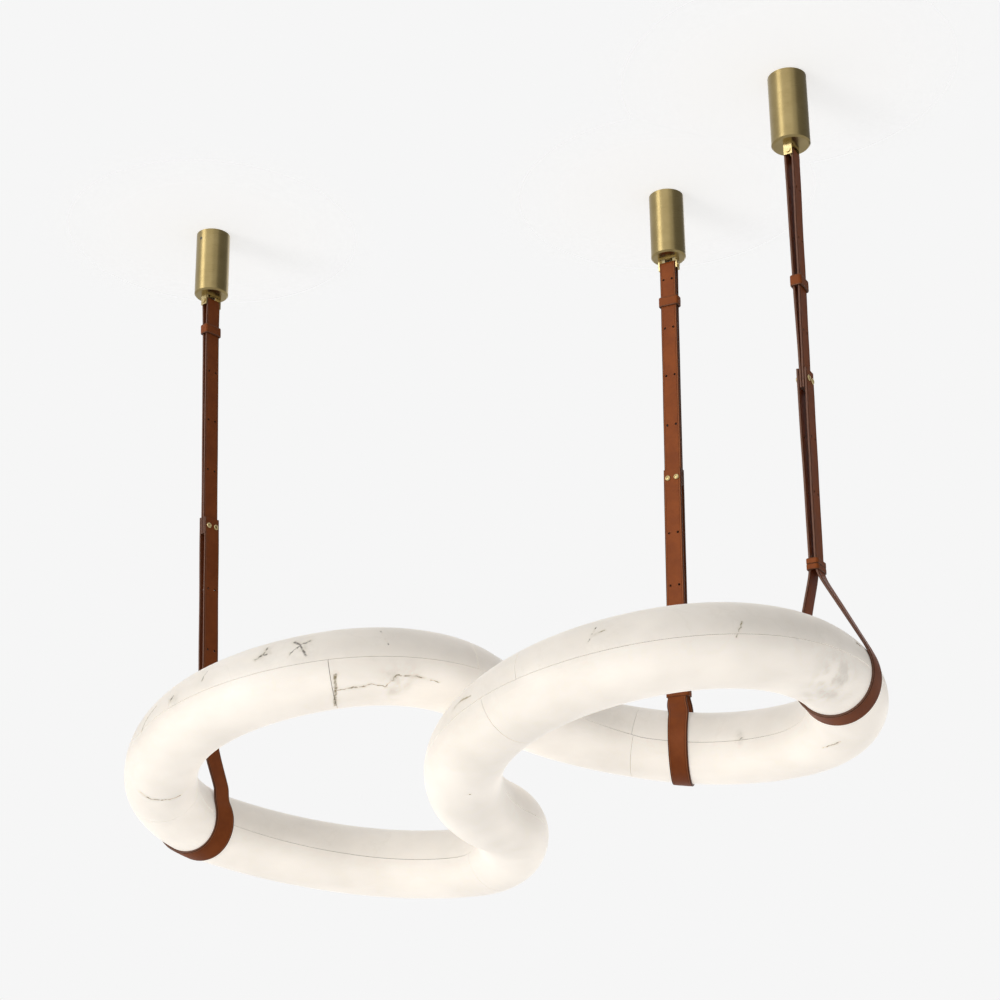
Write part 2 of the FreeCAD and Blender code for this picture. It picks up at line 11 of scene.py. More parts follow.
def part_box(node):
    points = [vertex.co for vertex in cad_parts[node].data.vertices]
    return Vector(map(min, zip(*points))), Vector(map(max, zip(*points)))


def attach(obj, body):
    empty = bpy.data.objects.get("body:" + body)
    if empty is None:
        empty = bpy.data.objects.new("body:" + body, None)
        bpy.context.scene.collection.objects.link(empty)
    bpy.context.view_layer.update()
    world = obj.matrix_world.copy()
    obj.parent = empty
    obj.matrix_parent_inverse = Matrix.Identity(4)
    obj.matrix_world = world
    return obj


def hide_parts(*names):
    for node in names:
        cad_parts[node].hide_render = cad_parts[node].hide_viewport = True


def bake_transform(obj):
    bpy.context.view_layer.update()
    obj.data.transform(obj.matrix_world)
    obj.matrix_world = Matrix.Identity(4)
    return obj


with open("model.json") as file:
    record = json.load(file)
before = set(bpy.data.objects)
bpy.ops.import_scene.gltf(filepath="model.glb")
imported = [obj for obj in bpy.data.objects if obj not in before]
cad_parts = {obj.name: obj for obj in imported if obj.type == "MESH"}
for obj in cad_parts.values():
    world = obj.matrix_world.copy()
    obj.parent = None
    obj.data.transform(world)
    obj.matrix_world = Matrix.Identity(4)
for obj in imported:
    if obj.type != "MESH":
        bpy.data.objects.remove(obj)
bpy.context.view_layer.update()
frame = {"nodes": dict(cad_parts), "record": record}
NODES = frame["nodes"]
SCENE = bpy.context.scene
UP = Vector((0, 0, 1))


# ---------------------------------------------------------------- shader helpers

class Shade:
    """A node material built with short calls. A plain number or colour goes straight on its socket."""

    def __init__(self, name):
        self.material = bpy.data.materials.new(name)
        self.material.use_nodes = True
        self.tree = self.material.node_tree
        self.tree.nodes.clear()
        self.output = self.node("ShaderNodeOutputMaterial")

    def plug(self, socket, value):
        if isinstance(value, bpy.types.NodeSocket):
            self.tree.links.new(value, socket)
        else:
            socket.default_value = value

    def node(self, kind, inputs=(), **settings):
        made = self.tree.nodes.new(kind)
        for name, value in settings.items():
            setattr(made, name, value)
        for key, value in dict(inputs).items():
            self.plug(made.inputs[key], value)
        return made

    def principled(self, **inputs):
        shader = self.node("ShaderNodeBsdfPrincipled",
                           {key.replace("_", " "): value for key, value in inputs.items()})
        self.plug(self.output.inputs["Surface"], shader.outputs[0])
        return shader

    def place(self):
        return self.node("ShaderNodeTexCoord").outputs["Object"]

    def math(self, operation, a, b=0.0, clamp=False):
        return self.node("ShaderNodeMath", {0: a, 1: b}, operation=operation, use_clamp=clamp).outputs[0]

    def vector(self, operation, a, b=(0, 0, 0), scale=None):
        made = self.node("ShaderNodeVectorMath", {0: a, 1: b}, operation=operation)
        if scale is not None:
            self.plug(made.inputs["Scale"], scale)
        return made.outputs["Value" if operation in ("LENGTH", "DOT_PRODUCT", "DISTANCE") else "Vector"]

    def step(self, value, low, high, smooth=True):
        """0 at low, 1 at high. High may be below low."""
        made = self.node("ShaderNodeMapRange", {"Value": value, "From Min": low, "From Max": high},
                         interpolation_type="SMOOTHSTEP" if smooth else "LINEAR", clamp=True)
        return made.outputs["Result"]

    def mix(self, share, a, b, blend="MIX"):
        return self.node("ShaderNodeMix", {0: share, 6: a, 7: b}, data_type="RGBA", blend_type=blend).outputs[2]

    def noise(self, place, scale, detail=2.0, rough=0.5, colour=False):
        made = self.node("ShaderNodeTexNoise",
                         {"Vector": place, "Scale": scale, "Detail": detail, "Roughness": rough})
        return made.outputs["Color" if colour else "Fac"]

    def voronoi(self, place, scale, feature="F1"):
        return self.node("ShaderNodeTexVoronoi", {"Vector": place, "Scale": scale},
                         feature=feature).outputs["Distance"]

    def stretch(self, place, scale):
        return self.node("ShaderNodeMapping", {"Vector": place, "Scale": scale}).outputs[0]

    def ramp(self, value, stops):
        made = self.node("ShaderNodeValToRGB", {"Fac": value})
        elements = made.color_ramp.elements
        while len(elements) < len(stops):
            elements.new(0.5)
        for element, (position, colour) in zip(elements, stops):
            element.position = position
            element.color = (*colour, 1)
        return made.outputs[0]

    def bump(self, height, distance, strength=1.0, under=None):
        inputs = {"Height": height, "Distance": distance, "Strength": strength}
        if under is not None:
            inputs["Normal"] = under
        return self.node("ShaderNodeBump", inputs).outputs[0]


# ---------------------------------------------------------------- the alabaster

# Marks in the stone. Each crack is a chain of places on its surface, with a width in millimetres.
DARK_CRACKS = (
    (((-0.6260, -0.3330, -0.9400), (-0.6168, -0.3414, -0.9467), (-0.6120, -0.3460, -0.9560),
      (-0.6064, -0.3508, -0.9651)), 2.6),
    (((-0.6168, -0.3414, -0.9467), (-0.6010, -0.3390, -0.9400)), 1.8),
    (((-0.6168, -0.3414, -0.9480), (-0.6300, -0.3440, -0.9600), (-0.6330, -0.3450, -0.9660)), 1.3),
    (((-0.6678, -0.3211, -0.9435), (-0.6700, -0.3260, -0.9520), (-0.6737, -0.3304, -0.9586)), 1.5),
    (((-0.6860, -0.3290, -0.9650), (-0.6737, -0.3304, -0.9586), (-0.6640, -0.3350, -0.9570)), 2.0),
    (((-0.7724, -0.2858, -0.9848), (-0.7700, -0.2850, -0.9790), (-0.7660, -0.2830, -0.9700)), 1.2),
    (((-0.8290, -0.2420, -1.0050), (-0.8220, -0.2450, -0.9990)), 2.2),
    (((-0.4961, -0.3260, -0.9217), (-0.4910, -0.3330, -0.9350), (-0.4843, -0.3402, -0.9480)), 1.1),
    (((-0.3627, -0.3162, -1.1741), (-0.3620, -0.3162, -1.1748)), 2.4),
    (((-0.1966, -0.6021, -1.0216), (-0.1900, -0.5980, -1.0110), (-0.1847, -0.5930, -0.9979)), 1.1),
    (((0.0731, -0.1173, -1.0476), (0.0680, -0.1130, -1.0500), (0.0627, -0.1085, -1.0521)), 0.9),
)
WARM_CRACKS = (
    (((-0.5606, -0.3356, -1.0159), (-0.5188, -0.3344, -1.0099), (-0.5083, -0.3345, -1.0069),
      (-0.4894, -0.3257, -1.0095), (-0.4710, -0.3327, -0.9929), (-0.4445, -0.3214, -0.9918),
      (-0.4076, -0.2989, -0.9958)), 1.5),
    (((-0.5626, -0.3495, -0.9963), (-0.5619, -0.3387, -1.0136), (-0.5649, -0.3204, -1.0275),
      (-0.5663, -0.3041, -1.0327)), 3.4),
    (((-0.8871, -0.1674, -1.0377), (-0.8772, -0.1812, -1.0215), (-0.8578, -0.2033, -1.0044)), 1.3),
    (((-0.9050, -0.0640, -1.1130), (-0.8906, -0.0568, -1.1244), (-0.8667, -0.0533, -1.1257),
      (-0.8437, -0.0462, -1.1179)), 2.2),
    (((-0.3880, -0.4330, -1.0740), (-0.3721, -0.4550, -1.0635), (-0.3588, -0.4778, -1.0635)), 2.0),
    (((-0.1966, -0.6021, -1.0120), (-0.1746, -0.6027, -1.0051)), 1.8),
    (((0.0138, -0.5952, -0.9939), (0.0037, -0.6014, -1.0168)), 1.3),
    (((0.1791, -0.2430, -1.0931), (0.1966, -0.2895, -1.0943)), 1.6),
    (((0.2049, -0.4404, -0.9848), (0.1980, -0.4500, -0.9840)), 2.4),
    (((-0.2602, -0.0595, -1.1588), (-0.2680, -0.0500, -1.1640)), 1.4),
)
# Soft grey clouds in the stone: a place and a radius in metres.
GREY_CLOUDS = (
    ((-0.6120, -0.3440, -0.9560), 0.022), ((-0.6720, -0.3270, -0.9520), 0.016),
    ((-0.8252, -0.2444, -1.0021), 0.016), ((0.1500, -0.4820, -1.0540), 0.045),
    ((0.0680, -0.1130, -1.0500), 0.012), ((-0.4650, -0.3290, -0.9990), 0.030),
)


def distance_group():
    """Distance from a place to the straight piece between two others."""
    group = bpy.data.node_groups.new("distance_to_piece", "ShaderNodeTree")
    for name in ("Place", "Start", "Reach"):
        group.interface.new_socket(name, in_out="INPUT", socket_type="NodeSocketVector")
    group.interface.new_socket("Inverse", in_out="INPUT", socket_type="NodeSocketFloat")
    group.interface.new_socket("Distance", in_out="OUTPUT", socket_type="NodeSocketFloat")
    nodes, links = group.nodes, group.links
    given = nodes.new("NodeGroupInput")
    result = nodes.new("NodeGroupOutput")

    def vector(operation, a, b):
        made = nodes.new("ShaderNodeVectorMath")
        made.operation = operation
        links.new(a, made.inputs[0])
        links.new(b, made.inputs["Scale" if operation == "SCALE" else 1])
        return made.outputs["Value" if operation in ("DOT_PRODUCT", "DISTANCE") else "Vector"]

    away = vector("SUBTRACT", given.outputs["Place"], given.outputs["Start"])
    share = nodes.new("ShaderNodeMath")
    share.operation = "MULTIPLY"
    share.use_clamp = True
    links.new(vector("DOT_PRODUCT", away, given.outputs["Reach"]), share.inputs[0])
    links.new(given.outputs["Inverse"], share.inputs[1])
    near = vector("SCALE", given.outputs["Reach"], share.outputs[0])
    links.new(vector("DISTANCE", away, near), result.inputs["Distance"])
    return group


def crack_mask(shade, place, cracks, group):
    """1 on the cracks and 0 away from them, and the same for the stain beside them."""
    mask, stain = 0.0, 0.0
    for places, width in cracks:
        for start, end in zip(places, places[1:]):
            reach = Vector(end) - Vector(start)
            piece = shade.node("ShaderNodeGroup", node_tree=group)
            shade.plug(piece.inputs["Place"], place)
            piece.inputs["Start"].default_value = start
            piece.inputs["Reach"].default_value = reach
            piece.inputs["Inverse"].default_value = 1 / reach.length_squared
            mask = shade.math("MAXIMUM", mask, shade.step(piece.outputs[0], width * 0.0011, width * 0.0001))
            stain = shade.math("MAXIMUM", stain, shade.step(piece.outputs[0], width * 0.0034, 0.0))
    return mask, stain


def near_shell(places, low, high):
    """True if any of the places lies in a shell's box."""
    return any(all(low[k] - 0.004 < spot[k] < high[k] + 0.004 for k in range(3)) for spot in places)


def alabaster(node, group):
    """The stone of one shell, with the marks that fall on it and a glow from inside painted on as emission."""
    low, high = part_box(node)
    shade = Shade("alabaster_" + node)
    place = shade.place()
    drift = shade.vector("SUBTRACT", shade.noise(place, 9.0, 4.0, colour=True), (0.5, 0.5, 0.5))
    clouded = shade.vector("ADD", place, shade.vector("SCALE", drift, scale=0.06))
    jitter = shade.vector("SUBTRACT", shade.noise(place, 120.0, 3.0, 0.6, colour=True), (0.5, 0.5, 0.5))
    ragged = shade.vector("ADD", place, shade.vector("SCALE", jitter, scale=0.007))

    cloud = shade.noise(clouded, 5.0, 6.0, 0.55)
    colour = shade.ramp(cloud, ((0.28, (0.52, 0.485, 0.430)), (0.47, (0.56, 0.525, 0.475)),
                                (0.58, (0.58, 0.545, 0.495)), (0.74, (0.61, 0.580, 0.535))))
    thread = shade.math("ABSOLUTE", shade.math("SUBTRACT", shade.noise(clouded, 3.2, 8.0, 0.6), 0.5))
    colour = shade.mix(shade.math("MULTIPLY", shade.step(thread, 0.010, 0.0), 0.12), colour,
                       (0.42, 0.38, 0.31, 1))

    grey = 0.0
    for centre, radius in (cloud_at for cloud_at in GREY_CLOUDS if near_shell(cloud_at[:1], low, high)):
        apart = shade.vector("DISTANCE", clouded, Vector(centre))
        near = shade.step(apart, radius * 1.6, radius * 0.2)
        grey = shade.math("MAXIMUM", grey, near)
    patchy = shade.step(shade.noise(ragged, 45.0, 4.0, 0.6), 0.35, 0.70)
    grey = shade.math("MULTIPLY", grey, shade.math("MULTIPLY", patchy, 0.32))
    colour = shade.mix(grey, colour, (0.34, 0.31, 0.23, 1))

    warm, warm_stain = crack_mask(shade, ragged, [c for c in WARM_CRACKS if near_shell(c[0], low, high)], group)
    dark, dark_stain = crack_mask(shade, ragged, [c for c in DARK_CRACKS if near_shell(c[0], low, high)], group)
    broken = shade.step(shade.noise(place, 260.0, 3.0, 0.6), 0.34, 0.60)
    warm = shade.math("MULTIPLY", warm, shade.math("ADD", 0.45, shade.math("MULTIPLY", broken, 0.5)))
    dark = shade.math("MULTIPLY", dark, shade.math("ADD", 0.55, shade.math("MULTIPLY", broken, 0.45)))
    stain = shade.math("MULTIPLY", shade.math("MAXIMUM", warm_stain, dark_stain), shade.math("MULTIPLY", patchy, 0.40))
    colour = shade.mix(stain, colour, (0.34, 0.28, 0.14, 1))
    colour = shade.mix(warm, colour, (0.28, 0.21, 0.08, 1))
    colour = shade.mix(dark, colour, (0.045, 0.028, 0.016, 1))

    # Painted glow: the light of the strips inside is painted on the stone as emission, stronger on the faces that turn
    # down.
    facing = shade.node("ShaderNodeSeparateXYZ",
                        {0: shade.node("ShaderNodeNewGeometry").outputs["Normal"]}).outputs["Z"]
    lamp_and_painted_glow = shade.math("ADD", 0.35, shade.math("MULTIPLY", shade.step(facing, 0.35, -0.70), 0.30))
    veil = shade.step(shade.noise(shade.stretch(clouded, (1.0, 1.0, 1.8)), 11.0, 5.0, 0.6), 0.25, 0.75)
    lamp_and_painted_glow = shade.math("MULTIPLY", lamp_and_painted_glow, shade.math("ADD", 0.76, shade.math("MULTIPLY", cloud, 0.30)))
    lamp_and_painted_glow = shade.math("MULTIPLY", lamp_and_painted_glow, shade.math("ADD", 0.91, shade.math("MULTIPLY", veil, 0.16)))
    # The painted glow is left off the faces inside the tube and in the seams.
    open_air = shade.node("ShaderNodeAmbientOcclusion", {"Distance": 0.13}, samples=4).outputs["AO"]
    lamp_and_painted_glow = shade.math("MULTIPLY", lamp_and_painted_glow, shade.step(open_air, 0.02, 0.20))
    clear = shade.math("SUBTRACT", 1.0, shade.math("MAXIMUM", dark, shade.math("MAXIMUM", warm, grey)))
    clear = shade.math("MULTIPLY", clear, shade.math("SUBTRACT", 1.0, shade.math("MULTIPLY", stain, 0.6)))
    rough = shade.math("ADD", 0.42, shade.math("MULTIPLY", shade.noise(place, 30.0, 3.0), 0.16))
    relief = shade.bump(shade.noise(place, 70.0, 4.0, 0.6), 0.0003, 0.25)
    relief = shade.bump(shade.math("SUBTRACT", 1.0, dark), 0.0006, 0.4, relief)
    # The painted glow goes in as emission, less where the stone is marked.
    shader = shade.principled(Base_Color=colour, Roughness=rough, IOR=1.52,
                              Emission_Strength=shade.math("MULTIPLY", lamp_and_painted_glow, clear), Normal=relief)
    shader.inputs["Emission Color"].default_value = (1.0, 0.93, 0.845, 1)
    shader.inputs["Subsurface Weight"].default_value = 0.35
    shader.inputs["Subsurface Radius"].default_value = (1.0, 0.75, 0.5)
    shader.inputs["Subsurface Scale"].default_value = 0.012
    shader.inputs["Specular IOR Level"].default_value = 0.35
    shader.inputs["Coat Weight"].default_value = 0.05
    shader.inputs["Coat Roughness"].default_value = 0.30
    return shade.material


# ---------------------------------------------------------------- metals, leather and plastics

def metal(name, colour, dull, rough, grain, lines=0.35):
    """Satin metal with fine turned or brushed lines, slight clouding and duller patches."""
    shade = Shade(name)
    place = shade.place()
    brush = shade.noise(shade.stretch(place, grain), 1.0, 3.0, 0.7)
    patch = shade.noise(place, 38.0, 4.0, 0.6)
    tone = shade.mix(shade.step(patch, 0.30, 0.75), (*colour, 1), (*dull, 1))
    tone = shade.mix(shade.math("MULTIPLY", shade.step(brush, 0.35, 0.70), 0.18), tone, (*dull, 1))
    roughness = shade.math("ADD", rough, shade.math("MULTIPLY", shade.math("SUBTRACT", brush, 0.5), 0.18))
    shade.principled(Base_Color=tone, Metallic=1.0, Roughness=roughness,
                     Normal=shade.bump(brush, 0.00008, lines))
    return shade.material


def leather_face(name, deep, light):
    """Saddle leather: fine pores, colour drift, a creased line along each edge with painted shade in it and a painted
    highlight beside it, burnished edges.
    """
    shade = Shade(name)
    place = shade.place()
    across = shade.node("ShaderNodeSeparateXYZ", {0: shade.node("ShaderNodeTexCoord").outputs["UV"]}).outputs["X"]
    edge = shade.math("ABSOLUTE", shade.math("SUBTRACT", across, 0.5))
    drift = shade.noise(place, 26.0, 5.0, 0.6)
    fibre = shade.noise(shade.stretch(place, (420.0, 420.0, 90.0)), 1.0, 4.0, 0.7)
    colour = shade.mix(shade.step(drift, 0.28, 0.75), (*deep, 1), (*light, 1))
    colour = shade.mix(shade.math("MULTIPLY", shade.step(fibre, 0.45, 0.80), 0.25), colour, (*light, 1))
    # Painted shade: the crease groove is darkened in colour as well as sunk by the bump.
    crease = shade.math("SUBTRACT", 1.0, shade.step(shade.math("ABSOLUTE", shade.math("SUBTRACT", edge, 0.385)),
                                                    0.002, 0.020))
    colour = shade.mix(shade.math("MULTIPLY", crease, 0.70), colour, (deep[0] * 0.4, deep[1] * 0.35, deep[2] * 0.3, 1))
    rim = shade.step(edge, 0.432, 0.462)
    colour = shade.mix(shade.math("MULTIPLY", rim, 0.80), colour, (0.050, 0.016, 0.006, 1))
    # Painted highlight: a pale line beside each crease.
    line = shade.math("SUBTRACT", 1.0, shade.step(shade.math("ABSOLUTE", shade.math("SUBTRACT", edge, 0.415)),
                                                  0.005, 0.018))
    colour = shade.mix(shade.math("MULTIPLY", line, 0.55), colour, (0.44, 0.18, 0.080, 1))
    pores = shade.voronoi(place, 780.0)
    relief = shade.bump(pores, 0.00018, 0.35)
    relief = shade.bump(shade.noise(place, 240.0, 4.0, 0.65), 0.0004, 0.28, relief)
    relief = shade.bump(shade.math("SUBTRACT", 1.0, crease), 0.0006, 0.7, relief)
    rough = shade.math("ADD", 0.40, shade.math("MULTIPLY", drift, 0.22))
    shader = shade.principled(Base_Color=colour, Roughness=rough, Normal=relief)
    shader.inputs["Specular IOR Level"].default_value = 0.14
    return shade.material


def leather_edge():
    """The cut and burnished edge of the straps: darker, with fibre layers."""
    shade = Shade("leather_edge")
    place = shade.place()
    fibre = shade.noise(shade.stretch(place, (900.0, 900.0, 160.0)), 1.0, 4.0, 0.7)
    colour = shade.ramp(fibre, ((0.25, (0.055, 0.018, 0.007)), (0.50, (0.105, 0.034, 0.012)),
                                (0.75, (0.20, 0.075, 0.030))))
    shade.principled(Base_Color=colour, Roughness=0.55, Normal=shade.bump(fibre, 0.0002, 0.5))
    return shade.material


def plastic(name, colour, rough, lamp_and_painted_glow=0.0):
    shade = Shade(name)
    place = shade.place()
    grain = shade.noise(place, 900.0, 2.0)
    tone = shade.mix(shade.math("MULTIPLY", shade.noise(place, 20.0, 3.0), 0.25), (*colour, 1),
                     (colour[0] * 0.86, colour[1] * 0.85, colour[2] * 0.82, 1))
    shader = shade.principled(Base_Color=tone, Roughness=rough, Normal=shade.bump(grain, 0.0001, 0.3))
    shader.inputs["Emission Color"].default_value = (1.0, 0.86, 0.66, 1)
    shader.inputs["Emission Strength"].default_value = lamp_and_painted_glow
    return shade.material


TURNED = (30.0, 30.0, 2600.0)
LOOKS = {
    "satin_brass": metal("satin_brass", (0.305, 0.236, 0.108), (0.262, 0.200, 0.087), 0.30, TURNED),
    "aged_brass": metal("aged_brass", (0.60, 0.49, 0.26), (0.42, 0.32, 0.14), 0.26, (900.0, 900.0, 60.0)),
    "cognac_leather": leather_face("cognac_leather", (0.205, 0.048, 0.009), (0.275, 0.070, 0.015)),
    "dark_leather": leather_face("dark_leather", (0.200, 0.048, 0.009), (0.270, 0.070, 0.015)),
    "dark_steel": metal("dark_steel", (0.10, 0.095, 0.085), (0.05, 0.047, 0.04), 0.40, TURNED),
    "zinc_steel": metal("zinc_steel", (0.62, 0.63, 0.64), (0.48, 0.49, 0.50), 0.36, (500.0, 500.0, 500.0)),
    "white_steel": plastic("white_steel", (0.86, 0.86, 0.85), 0.45),
    "clear_plastic": plastic("clear_plastic", (0.84, 0.86, 0.87), 0.15),
    "silicone": plastic("silicone", (0.92, 0.88, 0.80), 0.55, 0.6),
    "white_plastic": plastic("white_plastic", (0.82, 0.82, 0.80), 0.38),
}
EDGE = leather_edge()
SLOT_OF = {part["node"]: part["material_slot"] for part in frame["record"]["subparts"]}
PIECE_DISTANCE = distance_group()
for node, obj in NODES.items():
    obj.data.materials.clear()
    obj.data.materials.append(alabaster(node, PIECE_DISTANCE) if "stone_shell" in node else LOOKS[SLOT_OF[node]])


# ---------------------------------------------------------------- mesh helpers

def new_object(name, vertices, faces, materials, smooth=True):
    mesh = bpy.data.meshes.new(name)
    mesh.from_pydata([tuple(v) for v in vertices], [], faces)
    for material in materials:
        mesh.materials.append(material)
    mesh.validate()
    obj = bpy.data.objects.new(name, mesh)
    SCENE.collection.objects.link(obj)
    if smooth:
        mesh.shade_smooth()
        mesh.set_sharp_from_angle(angle=math.radians(38))
    return obj


def carve(obj, cutter):
    """Take the cutter's shape out of obj, and drop the cutter."""
    tool = obj.modifiers.new("carve", "BOOLEAN")
    tool.operation = "DIFFERENCE"
    tool.solver = "EXACT"
    tool.object = cutter
    graph = bpy.context.evaluated_depsgraph_get()
    carved = bpy.data.meshes.new_from_object(obj.evaluated_get(graph))
    obj.modifiers.clear()
    obj.data = carved
    carved.shade_smooth()
    carved.set_sharp_from_angle(angle=math.radians(38))
    bpy.data.objects.remove(cutter)


def smooth_step(value):
    value = min(1.0, max(0.0, value))
    return value * value * (3 - 2 * value)


def rods(name, ends, radius, materials, material_index, sides=20):
    """Plain round rods between pairs of places, used to punch holes."""
    vertices, faces = [], []
    for start, end in ends:
        first = len(vertices)
        axis = (end - start).normalized()
        side = axis.orthogonal().normalized()
        other = axis.cross(side)
        for centre in (start, end):
            for i in range(sides):
                turn = 2 * math.pi * i / sides
                vertices.append(centre + side * (radius * math.cos(turn)) + other * (radius * math.sin(turn)))
        for i in range(sides):
            j = (i + 1) % sides
            faces.append((first + i, first + j, first + sides + j, first + sides + i))
        faces.append(tuple(first + i for i in reversed(range(sides))))
        faces.append(tuple(first + sides + i for i in range(sides)))
    obj = new_object(name, vertices, faces, materials, smooth=False)
    for polygon in obj.data.polygons:
        polygon.material_index = material_index
    return obj


def lathe(vertices, faces, profile, origin, axis, sides=40):
    """Add a turned shape: profile holds (radius, height) from the foot up, along axis from origin."""
    side = axis.orthogonal().normalized()
    other = axis.cross(side)
    first = len(vertices)
    for radius, height in profile:
        for i in range(sides):
            turn = 2 * math.pi * i / sides
            vertices.append(origin + axis * height + side * (radius * math.cos(turn))
                            + other * (radius * math.sin(turn)))
    for row in range(len(profile) - 1):
        for i in range(sides):
            j = (i + 1) % sides
            low, high = first + row * sides, first + (row + 1) * sides
            faces.append((low + i, low + j, high + j, high + i))
    faces.append(tuple(first + i for i in reversed(range(sides))))
    last = first + (len(profile) - 1) * sides
    faces.append(tuple(last + i for i in range(sides)))


# ---------------------------------------------------------------- the straps

LEATHER = 0.004
TOP_WIDTH, WRAP_WIDTH = 0.030, 0.035
HALF_GAP, LAYER_GAP = 0.0022, 0.0003
OVERLAP = 0.016
PIN_Z = -0.141
ROLLER = 0.004
STUD_SPACING, STUD_SHANK = 0.016, 0.0025
TUBE = 0.060

STRAPS = {
    "left": dict(axis=(-0.854, 0.125, 0), along=(0.642449, 0.766329, 0), tube=(-0.85023, 0.12143, -1.12563),
                 slope=(0.6146, 0.7331, -0.2913), squash=0.95664, offset=-0.035, shift=-0.0018, gap=0.0027, slant=-0.24,
                 keeper=-0.200, studs=-0.594, foot=-0.985,
                 holes=(-0.285, -0.384, -0.483, -0.714, -0.828)),
    "mid": dict(axis=(0, 0, 0), along=(0.886811, -0.462132, 0), tube=(-0.01064, 0.01383, -1.03305),
                slope=(0.8728, -0.4548, -0.1769), squash=0.98423, offset=0.0, shift=0.0, gap=0.0016, slant=-0.28,
                keeper=-0.213, studs=-0.553, foot=-0.950,
                holes=(-0.170, -0.265, -0.357, -0.452, -0.655, -0.750)),
    "right": dict(axis=(0.165, -0.372, 0), along=(0.495185, 0.868787, 0), tube=(0.17979, -0.38037, -1.01824),
                  slope=(0.4892, 0.8583, -0.1551), squash=0.98791, offset=0.003, shift=0.0, gap=0.0018, slant=0.03,
                  keeper=-0.372, studs=-0.538, foot=-0.853,
                  holes=(-0.205, -0.295, -0.455, -0.635, -0.725)),
}


class Line:
    """The upright line of one strap, with its directions across and along the pin."""

    def __init__(self, side):
        given = STRAPS[side]
        self.side = side
        self.axis = Vector(given["axis"])
        self.along = Vector(given["along"])
        self.across = UP.cross(self.along)
        self.tube = Vector(given["tube"])
        self.slope = Vector(given["slope"])
        self.squash = given["squash"]
        self.offset = given["offset"]
        self.gap, self.slant = given["gap"], given["slant"]
        self.keeper, self.studs, self.foot = given["keeper"], given["studs"], given["foot"]
        self.holes = given["holes"]
        self.end = self.studs - OVERLAP
        self.tube_across = (self.tube - self.axis).dot(self.across) + given["shift"]

    def drop(self, z, low):
        return (PIN_Z - z) / (PIN_Z - low)

    def middle(self, z):
        return self.offset * min(1.0, self.drop(z, self.foot))

    def spot(self, across, z):
        along = self.drop(z, self.tube.z) * (self.tube - self.axis).dot(self.along)
        return self.axis + self.along * along + self.across * across + UP * z

    def sling_spot(self, across, z):
        """A place on the sling, which runs a little along the tube as it goes round it."""
        share = smooth_step((self.foot - z) / (self.foot - self.touch))
        return self.spot(across, z) + self.slope * (share * self.slant * (across - self.tube_across) / self.squash)

    def half_width(self, z):
        return (TOP_WIDTH + (WRAP_WIDTH - TOP_WIDTH) * min(1.0, max(0.0, self.drop(z, self.tube.z)))) / 2

    def layer(self, z, half_space, sign):
        return self.middle(z) + sign * (half_space + LEATHER / 2)

    def upper_route(self):
        """(across, z) from the back end, up over the roller, and down to the front end."""
        loop = ROLLER + LAYER_GAP + LEATHER / 2
        knots = [(self.end, LAYER_GAP / 2), (self.studs + OVERLAP, LAYER_GAP / 2), (self.keeper, HALF_GAP)]
        back = [(self.layer(z, gap, 1), z) for z, gap in knots]
        front = [(self.layer(z, gap, -1), z) for z, gap in reversed(knots)]
        arc = [(loop * math.cos(a), PIN_Z + loop * math.sin(a)) for a in (math.pi * i / 24 for i in range(25))]
        return back + arc + front

    def tangent(self, start, radius, side):
        reach = (start[0] - self.tube_across, (start[1] - self.tube.z) * self.squash)
        return math.atan2(reach[1], reach[0]) - side * math.acos(radius / math.hypot(*reach))

    def sling_route(self):
        """(across, z) from the front end, down, round under the tube and up to the back end."""
        outside = 1.5 * LAYER_GAP + LEATHER
        radius = TUBE + self.gap + LEATHER / 2
        knots = [(self.studs + OVERLAP, outside), (self.end - OVERLAP, outside), (self.foot, HALF_GAP)]
        front = [(self.layer(z, gap, -1), z) for z, gap in knots]
        back = [(self.layer(z, gap, 1), z) for z, gap in reversed(knots)]
        first = self.tangent(front[-1], radius, -1)
        last = self.tangent(back[0], radius, 1)
        if first < 0:
            first += 2 * math.pi
        if last > math.pi / 2:
            last -= 2 * math.pi
        last += 2 * math.pi
        self.touch = self.tube.z + radius * max(math.sin(first), math.sin(last)) / self.squash
        arc = [(self.tube_across + radius * math.cos(a), self.tube.z + radius * math.sin(a) / self.squash)
               for a in (first + (last - first) * i / 60 for i in range(61))]
        return front + arc + back


def resample(route, pitch):
    """Even steps along a chain of points."""
    out = [route[0]]
    for start, end in zip(route, route[1:]):
        length = math.dist(start, end)
        steps = max(1, round(length / pitch))
        for i in range(1, steps + 1):
            share = i / steps
            out.append(tuple(a + (b - a) * share for a, b in zip(start, end)))
    return out


def relax(points, keep, rounds=14):
    """Round off the corners of a chain of points, but not where keep says so."""
    for _ in range(rounds):
        moved = list(points)
        for i in range(1, len(points) - 1):
            if not keep(points[i]):
                moved[i] = tuple((a + 2 * b + c) / 4 for a, b, c in zip(points[i - 1], points[i], points[i + 1]))
        points = moved
    return points


# Across the strap, from -1 to 1: the share of the leather's thickness at each place.
SECTION = ((-1.0, 0.50), (-0.985, 0.74), (-0.955, 0.92), (-0.90, 1.0), (-0.815, 0.985), (-0.5, 1.0), (0.0, 1.0),
           (0.5, 1.0), (0.815, 0.985), (0.90, 1.0), (0.955, 0.92), (0.985, 0.74), (1.0, 0.50))


def stone_surface(line):
    """The stone near one strap, for the leather to lie on."""
    graph = bpy.context.evaluated_depsgraph_get()
    trees = []
    for node, obj in NODES.items():
        low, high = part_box(node) if "stone_shell" in node else (None, None)
        if low and all(low[k] - 0.1 < line.tube[k] < high[k] + 0.1 for k in range(3)):
            trees.append(BVHTree.FromObject(obj, graph))
    return trees


def lay_on_stone(place, trees):
    """The point one leather's half thickness off the stone, on the way from the stone to place."""
    found = min((tree.find_nearest(place) for tree in trees), key=lambda hit: hit[3])
    outward = (place - found[0]).normalized()
    return found[0] + outward * (LEATHER / 2 + 0.0004), outward


